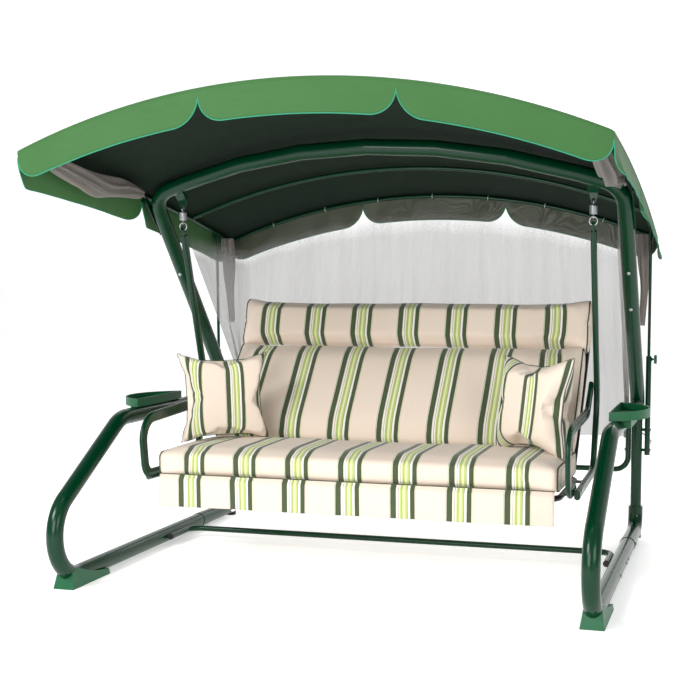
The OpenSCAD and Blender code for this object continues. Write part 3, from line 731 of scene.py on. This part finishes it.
def net_point(u, v):
    """Point of the hanging net: along the plan at u, down from the roof at v, with upright folds."""
    x, y, out = net_plan(u, mix(net_high.z, net_low.z, v))
    top = roof_z(x * 0.995, mix(y, rod_y, 0.6)) - 0.04
    scallop = 0.012 * math.sin(math.pi * (x / 0.28)) ** 2
    z = mix(top - scallop, net_low.z + 0.004, v)
    x, y, out = net_plan(u, z)
    x *= 0.995
    # The top of the net leans towards the rear rod, and three waves of folds grow deeper downwards
    back = smooth_step(1 - v / 0.12) * (rod_y - net_high.y) * 0.8 * out[1]
    s = u * NET_LENGTH
    deep = mix(0.003, 0.012, smooth_step(v * 1.3))
    lean = s + 0.16 * math.sin(s * 2.1) * v
    fold = math.sin(lean * 43.0) + 0.7 * math.sin(lean * 71.0 + 1.7 * math.sin(s * 5.0))
    fold += 0.5 * math.sin(lean * 117.0 + v * 2.0)
    wave = deep * (fold - 1.1) * 0.5
    return Vector((x + out[0] * wave, y + out[1] * wave + back, z))


def build_net():
    """The net curtain, as one sheet that rides on no body."""
    height = roof_z(0, rod_y) - net_low.z
    net = sheet_piece("net_curtain", 60, 420, net_point, None, net_cloth,
                      flat_of=lambda u, v: (u * NET_LENGTH, v * height))
    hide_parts("mosquito_net")
    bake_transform(net)


def bunch_path(points, t):
    """Point at t along a smooth line through a few points."""
    span = len(points) - 1
    i = min(int(t * span), span - 1)
    local = t * span - i
    p0 = points[max(i - 1, 0)]
    p1 = points[i]
    p2 = points[i + 1]
    p3 = points[min(i + 2, span)]
    a = 2 * p1
    b = p2 - p0
    c = 2 * p0 - 5 * p1 + 4 * p2 - p3
    d = -p0 + 3 * p1 - 3 * p2 + p3
    return (a + b * local + c * local ** 2 + d * local ** 3) / 2


def build_bunch(name, line, radius_at, lobes, body, material, seed, blend=None):
    """A gathered length of net: a sheet folded round a line, just short of a full turn.

    Its cloth is wider than the bunch, and its weave starts below NET_THIN_TOP, so it is dense all along.
    """
    rows = 64
    columns = lobes * 12 + 1
    draw = random.Random(seed)
    phases = [draw.uniform(0, 6.28) for _ in range(4)]
    points = []
    flats = []
    for r in range(rows):
        t = r / (rows - 1)
        centre = bunch_path(line, t)
        ahead = bunch_path(line, min(1.0, t + 0.01)) - bunch_path(line, max(0.0, t - 0.01))
        ahead.normalize()
        side = ahead.cross(Vector((0.3, 1.0, 0.2))).normalized()
        up = ahead.cross(side)
        radius = radius_at(t)
        for c in range(columns):
            angle = 2 * math.pi * 0.985 * c / (columns - 1)
            fold = math.sin(lobes * angle + phases[0] + 1.5 * math.sin(3 * t + phases[1]))
            fold += 0.5 * math.sin(2 * angle + phases[2] + 5 * t)
            reach = radius * (1 + 0.3 * fold)
            points.append(centre + side * math.cos(angle) * reach + up * math.sin(angle) * reach)
            flats.append((angle * radius * 1.6, 1 + t))
    piece = new_piece(name, points, grid_faces(rows, columns), None if blend else body, material)
    cloth_coordinates(piece, flats)
    if blend:
        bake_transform(piece)


def build_bunches():
    """The net gathered behind each upright, and the roll of net under each side of the roof."""
    for side, word in ((-1, "left"), (1, "right")):
        x = side * (middle_of("upright_right").x + 0.016)
        top = roof_z(x, upright_y + 0.04) - 0.05
        line = [
            Vector((x, upright_y + 0.052, top)),
            Vector((x, upright_y + 0.072, top - 0.14)),
            Vector((x, upright_y + 0.075, 1.16)),
            Vector((x - side * 0.01, upright_y + 0.08, 0.99)),
        ]
        build_bunch(
            "net_gather_" + word, line, lambda t: mix(0.028, 0.012, smooth_step(t)), 7, "roof",
            dense_shaded_net, 3 + side, blend=("roof", "frame", (0, 0, top - 0.05), (0, 0, 1.1))
        )
        x = side * (middle_of("side_rod_right").x - 0.05)
        rail = [
            Vector((x, y, roof_z(x, y) - 0.07 - 0.018 * math.sin(9 * y)))
            for y in (-0.86, -0.68, -0.5, -0.3, -0.12)
        ]
        build_bunch(
            "net_roll_" + word, rail, lambda t: 0.012 + 0.022 * math.sin(math.pi * t) ** 0.6, 6, "roof",
            dense_shaded_net, 11 + side
        )


# ---------- springs ----------


def build_spring(word):
    """Closed-wound spring with a hook at each end, as one bent wire."""
    low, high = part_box("spring_" + word)
    centre = (low + high) / 2
    wire = 0.0023
    coil_r = (high.x - low.x) / 2 - wire
    hook_r = 0.009
    eye_r = 0.0065
    gap = 0.003
    hook_steps = 24
    turn_steps = 28
    top_centre = Vector((centre.x, centre.y, high.z - wire - hook_r))
    low_centre = Vector((centre.x, centre.y, low.z + wire + eye_r))
    coil_top = top_centre.z - hook_r - gap
    coil_low = low_centre.z + eye_r + gap
    path = []
    for i in range(hook_steps + 1):
        angle = math.radians(mix(-160, 150, i / hook_steps))
        path.append(top_centre + Vector((0, math.sin(angle) * hook_r, math.cos(angle) * hook_r)))
    turns = 10
    steps = turns * turn_steps
    for i in range(steps + 1):
        t = i / steps
        angle = 2 * math.pi * turns * t
        grow = smooth_step(min(t, 1 - t) * 12)
        radius = mix(coil_r * 0.35, coil_r, grow)
        path.append(Vector((centre.x + math.sin(angle) * radius, centre.y + math.cos(angle) * radius,
                            mix(coil_top, coil_low, t))))
    for i in range(hook_steps + 1):
        angle = math.radians(mix(30, 340, i / hook_steps))
        path.append(low_centre + Vector((0, math.sin(angle) * eye_r, math.cos(angle) * eye_r)))
    spring = tube_piece("coil_" + word, [path], wire, "spring_" + word, zinc)
    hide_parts("spring_" + word)


# ---------- cushions ----------


def rounded_outline(width, height, radius, spacing):
    """Points round a rounded rectangle in the plane, from its lower right corner, about spacing apart."""
    half_w = width / 2 - radius
    half_h = height / 2 - radius
    corners = [(half_w, -half_h, -90), (half_w, half_h, 0), (-half_w, half_h, 90), (-half_w, -half_h, 180)]
    points = []
    for i, (cx, cy, start) in enumerate(corners):
        arc_steps = max(3, round(radius * math.pi / 2 / spacing))
        for k in range(arc_steps + 1):
            angle = math.radians(start + 90 * k / arc_steps)
            points.append(Vector((cx + radius * math.cos(angle), cy + radius * math.sin(angle))))
        nx, ny, next_start = corners[(i + 1) % 4]
        next_angle = math.radians(next_start)
        target = Vector((nx + radius * math.cos(next_angle), ny + radius * math.sin(next_angle)))
        gap = target - points[-1]
        count = max(1, round(gap.length / spacing))
        points += [points[-1] + gap * (k / count) for k in range(1, count)]
    return points


# Length of the cloth simulation that fills a cover
PUFF_FRAMES = 20


def puff(piece, pressure, cap):
    """Fills a closed cloth with air, and keeps each point within cap of where it started."""
    start = [v.co.copy() for v in piece.data.vertices]
    cloth = piece.modifiers.new("Puff", "CLOTH")
    settings = cloth.settings
    settings.quality = 4
    settings.mass = 0.3
    settings.tension_stiffness = 30
    settings.compression_stiffness = 20
    settings.shear_stiffness = 10
    settings.bending_stiffness = 0.6
    settings.use_pressure = True
    settings.uniform_pressure_force = pressure
    settings.effector_weights.gravity = 0
    cloth.point_cache.frame_end = PUFF_FRAMES
    for frame_number in range(1, PUFF_FRAMES + 1):
        scene.frame_set(frame_number)
    puffed = piece.evaluated_get(bpy.context.evaluated_depsgraph_get())
    moved = [v.co.copy() for v in puffed.data.vertices]
    piece.modifiers.remove(cloth)
    scene.frame_set(1)
    for vertex, a, b in zip(piece.data.vertices, start, moved):
        step = b - a
        if step.length > cap:
            step *= cap / step.length
        vertex.co = a + step
    piece.data.update()


def subdivide(piece):
    """Smooths a piece by one level of subdivision."""
    modifier = piece.modifiers.new("Smooth", "SUBSURF")
    modifier.levels = 1
    modifier.render_levels = 1


def build_pad(name, node, turn, width, height, radius, pressure, cap, crown):
    """A long pad that fills a CAD pad's place: width and height are its section's, turn its lean."""
    centre = middle_of(node)
    half = size_of(node).x / 2 - 0.004
    spacing = 0.013
    outline = rounded_outline(width, height, radius, spacing)
    # The section grows to its full size over a short length at each end
    end_length = 0.02
    ends = [(0.0, 0.86), (0.008, 0.95), (end_length, 1.0)]
    columns = round(2 * half / spacing)
    stations = [(-half + d, k) for d, k in ends]
    full = 2 * half - 2 * end_length
    stations += [(-half + end_length + full * i / columns, 1.0) for i in range(1, columns)]
    stations += [(half - d, k) for d, k in reversed(ends)]
    lean = math.radians(turn)
    points = []
    flats = []
    for x, share in stations:
        length = 0.0
        previous = outline[-1]
        for p in outline:
            length += (p - previous).length
            previous = p
            bow = crown * (1 - (x / half) ** 6) * (1 - (2 * p.x / width) ** 4) * (1 if p.y > 0 else 0.2)
            a = p.x * share
            b = (p.y + math.copysign(bow, p.y)) * share
            y = centre.y + a * math.cos(lean) - b * math.sin(lean)
            z = centre.z + a * math.sin(lean) + b * math.cos(lean)
            points.append(Vector((x + centre.x, y, z)))
            flats.append((x + centre.x, length))
    ring = len(outline)
    faces = grid_faces(len(stations), ring, closed=True)
    for row, flip in ((0, False), (len(stations) - 1, True)):
        middle = Vector((0, 0, 0))
        for i in range(ring):
            middle += points[row * ring + i] / ring
        points.append(middle)
        # The end takes its colour from the plain cloth just inside it
        flats.append((middle.x * 0.98, 0.0))
        for i in range(ring):
            a = row * ring + i
            b = row * ring + (i + 1) % ring
            faces.append((b, a, len(points) - 1) if not flip else (a, b, len(points) - 1))
    pad = new_piece(name, points, faces, None, stripes)
    cloth_coordinates(pad, flats)
    face_outward(pad)
    puff(pad, pressure, cap)
    mesh = pad.data
    soft_wrinkles(mesh, half, ring, len(stations))
    rings = [[mesh.vertices[row * ring + i].co.copy() for i in range(ring)] for row in (1, len(stations) - 2)]
    subdivide(pad)
    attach(pad, "seat")
    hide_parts(node)
    tube_piece(name + "_piping", rings, 0.0032, "seat", dark_piping, closed=True)


def soft_wrinkles(mesh, half, ring, count):
    """Shallow unevenness of a stuffed cover, with short puckers where it is sewn at its ends."""
    for index, vertex in enumerate(mesh.vertices):
        if index >= ring * count:
            continue
        x, y, z = vertex.co
        swell = math.sin(x * 7.3 + 1.1) * math.sin(z * 9.0 + y * 6.0) * 0.0022
        swell += math.sin(x * 19.0 + 2.0 * math.sin(y * 8.0)) * math.sin(z * 17.0 - y * 13.0) * 0.001
        end = half - abs(x)
        pucker = 0.0016 * math.sin((y + z) * 150.0) * math.exp(-end / 0.03)
        vertex.co = vertex.co + vertex.normal * (swell + pucker)
    mesh.update()


# Lean of the two upper pads back from vertical, in degrees
BACK_ANGLE = 40
HEADREST_ANGLE = 18


def build_cushions():
    """The seat, back and headrest pads."""
    seat = size_of("seat_cushion")
    build_pad("seat_pad", "seat_cushion", 0, seat.y - 0.012, seat.z - 0.012,
              radius=0.022, pressure=3.0, cap=0.02, crown=0.006)
    # Filling pulls a pad's edges in, so the covers are cut a little larger than the pads they make
    cut = 0.024
    build_pad("back_pad", "back_cushion", 90 - BACK_ANGLE, 0.536 + cut, 0.08,
              radius=0.028, pressure=3.0, cap=0.022, crown=0.008)
    build_pad("head_pad", "headrest_cushion", 90 - HEADREST_ANGLE, 0.23 + cut, 0.084,
              radius=0.04, pressure=4.0, cap=0.022, crown=0.008)


def build_skirt():
    """The strip of cloth that hangs from the front of the seat."""
    low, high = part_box("seat_skirt")
    drop = high.z - low.z

    def point(u, v):
        x = mix(low.x, high.x, u)
        wave = 0.0035 * v * (math.sin(x * 9.0) + 0.5 * math.sin(x * 23.0 + 1.0))
        tuck = 0.014 * smooth_step(1 - v / 0.16)
        return Vector((x, low.y + 0.003 + wave + tuck, high.z + 0.016 - (drop + 0.014) * v))

    skirt = sheet_piece("skirt", 24, 150, point, "seat", stripes,
                        flat_of=lambda u, v: (mix(low.x, high.x, u), v * drop))
    thicken(skirt, 0.002, 0.0)
    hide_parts("seat_skirt")
    hem_line = [point(i / 150, 0.0) for i in range(151)]
    seam = tube_piece("skirt_seam", [hem_line], 0.0022, "seat", dark_piping)


def build_pillow(word, turn, tilt):
    """A square pillow: two sheets sewn at the edge and blown up, so that the corners stay pointed.

    It turns about the vertical by turn, and leans by tilt, both in degrees.
    """
    node = "pillow_" + word
    middle = middle_of(node)
    # It lies a little further out and lower than the CAD form
    outward = math.copysign(0.018, middle.x)
    centre = middle + Vector((outward, 0, -0.012))
    count = 40
    # The filled cover draws in, so it starts larger than the plain form that stands in for it
    width = 0.445
    points = []
    flats = []
    rotation_z = math.radians(turn)
    rotation_x = math.radians(tilt)
    start_fill = 0.02
    for face in (-1, 1):
        for r in range(count + 1):
            for c in range(count + 1):
                a = (c / count - 0.5) * width
                b = (r / count - 0.5) * width
                fullness = (1 - (2 * a / width) ** 4) * (1 - (2 * b / width) ** 4)
                points.append(Vector((a, face * start_fill * fullness ** 0.5, b)))
                flats.append((a, b))
    faces = []
    layer = (count + 1) ** 2
    for f in range(2):
        for r in range(count):
            for c in range(count):
                a = f * layer + r * (count + 1) + c
                quad = (a, a + 1, a + count + 2, a + count + 1)
                faces.append(quad if f == 0 else tuple(reversed(quad)))
    rotated = []
    for p in points:
        y = p.y * math.cos(rotation_x) - p.z * math.sin(rotation_x)
        z = p.y * math.sin(rotation_x) + p.z * math.cos(rotation_x)
        x = p.x * math.cos(rotation_z) - y * math.sin(rotation_z)
        y = p.x * math.sin(rotation_z) + y * math.cos(rotation_z)
        rotated.append(Vector((x, y, z)) + centre)
    mesh_points, mesh_faces, mesh_flats = weld_border(rotated, faces, flats, count)
    pillow = new_piece("pillow_pad_" + word, mesh_points, mesh_faces, None, pillow_stripes)
    cloth_coordinates(pillow, mesh_flats)
    face_outward(pillow)
    puff(pillow, 9.0, 0.06)
    subdivide(pillow)
    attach(pillow, "seat")
    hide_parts(node)
    seam = [pillow.data.vertices[i].co.copy() for i in border_loop(count)]
    tube_piece("pillow_seam_" + word, [seam], 0.0016, "seat", dark_piping, closed=True)


def border_loop(count):
    """Indices of the border points of one sheet, in order."""
    side = count + 1
    loop = list(range(side))
    loop += [r * side + count for r in range(1, side)]
    loop += [count * side + c for c in range(count - 1, -1, -1)]
    loop += [r * side for r in range(count - 1, 0, -1)]
    return loop


def weld_border(points, faces, flats, count):
    """Joins the second sheet's border points to the first sheet's."""
    layer = (count + 1) ** 2
    border = set(border_loop(count))
    target = list(range(layer))
    kept_points = list(points[:layer])
    kept_flats = list(flats[:layer])
    for i in range(layer):
        if i in border:
            target.append(i)
        else:
            target.append(len(kept_points))
            kept_points.append(points[layer + i])
            kept_flats.append(flats[layer + i])
    return kept_points, [tuple(target[i] for i in face) for face in faces], kept_flats


def build_straps():
    """Webbing under the cushion: nine straps pulled tight, each sagging a little in its middle."""
    low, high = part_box("seat_straps")
    count = 9
    width = 0.04
    rows = 25
    columns = 5
    pitch = (high.x - low.x - width) / (count - 1)
    length = high.y - low.y
    points = []
    flats = []
    faces = []
    for i in range(count):
        x = low.x + i * pitch
        start = len(points)
        for r in range(rows):
            v = r / (rows - 1)
            sag = 0.006 * math.sin(math.pi * v)
            for c in range(columns):
                across = width * c / (columns - 1)
                points.append(Vector((x + across, low.y + length * v, high.z - 0.001 - sag)))
                flats.append((i * width * 1.5 + across, length * v))
        faces += [tuple(start + k for k in face) for face in grid_faces(rows, columns)]
    straps = new_piece("webbing", points, faces, "seat", strap_weave)
    cloth_coordinates(straps, flats)
    thicken(straps, 0.0015, 0.0)
    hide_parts("seat_straps")


# ---------- stage, light and camera ----------


def build_stage():
    """A pale floor that curves up into a wall far behind the bench."""
    reach = 14.0
    bend_start = 4.0
    bend_r = 3.0
    profile = [(-reach, 0.0), (bend_start, 0.0)]
    profile += [
        (bend_start + bend_r * math.sin(math.radians(a)), bend_r - bend_r * math.cos(math.radians(a)))
        for a in range(10, 91, 10)
    ]
    profile.append((bend_start + bend_r, 12.0))
    points = [(x, y, z) for y, z in profile for x in (-reach, reach)]
    faces = [(2 * i, 2 * i + 1, 2 * i + 3, 2 * i + 2) for i in range(len(profile) - 1)]
    mesh = bpy.data.meshes.new("floor")
    mesh.from_pydata(points, [], faces)
    mesh.shade_smooth()
    floor = bpy.data.objects.new("floor", mesh)
    scene.collection.objects.link(floor)
    s = Shader("floor_white")
    speck = s.noise(s.place(), 4.0, 2.0)
    s.set(base_color=s.blend(speck, srgb(248, 248, 248), srgb(252, 252, 252)), roughness=0.9)
    s.surface.inputs["Emission Color"].default_value = (1.0, 1.0, 1.0, 1.0)
    s.surface.inputs["Emission Strength"].default_value = 0.42
    mesh.materials.append(s.material)


def build_light():
    """Soft white surroundings and area lamps that point at the bench, each with its place, size and power."""
    world = bpy.data.worlds.new("studio")
    scene.world = world
    world.use_nodes = True
    background = world.node_tree.nodes["Background"]
    background.inputs["Color"].default_value = (1.0, 1.0, 1.0, 1.0)
    background.inputs["Strength"].default_value = 0.3
    middle = (cad_low + cad_high) / 2
    lamps = [
        ("key", (-2.6, -4.2, 3.6), 1.6, 160),
        ("fill", (3.8, -3.4, 2.0), 2.0, 60),
        ("front", (-0.5, -4.4, 1.5), 1.8, 66),
        ("top", (0.3, -0.6, 4.6), 1.6, 60),
        ("rear", (0.5, 3.6, 3.0), 2.0, 60),
    ]
    for name, place, size, power in lamps:
        lamp = bpy.data.lights.new(name, "AREA")
        lamp.size = size
        lamp.energy = power
        lamp_object = bpy.data.objects.new(name, lamp)
        lamp_object.location = place
        lamp_object.rotation_euler = (middle - Vector(place)).to_track_quat("-Z", "Y").to_euler()
        scene.collection.objects.link(lamp_object)


def build_camera():
    """The view from the front right, a little below the roof."""
    data = bpy.data.cameras.new("camera")
    camera = bpy.data.objects.new("camera", data)
    scene.collection.objects.link(camera)
    camera.location = (1.540, -4.997, 1.210)
    camera.rotation_euler = (math.radians(84.39), math.radians(0.06), math.radians(16.0))
    data.sensor_width = 36
    data.lens = 63.2
    data.shift_x = -0.0728
    data.shift_y = 0.0703
    data.clip_end = 60
    scene.camera = camera


scene.view_settings.view_transform = "Standard"
build_camera()
build_light()
build_stage()
finish_nodes()
build_cover()
build_valances()
build_net()
build_bunches()
for spring_word in ("left", "right"):
    build_spring(spring_word)
build_cushions()
build_skirt()
build_pillow("left", 36, -8)
build_pillow("right", -36, -8)
build_straps()
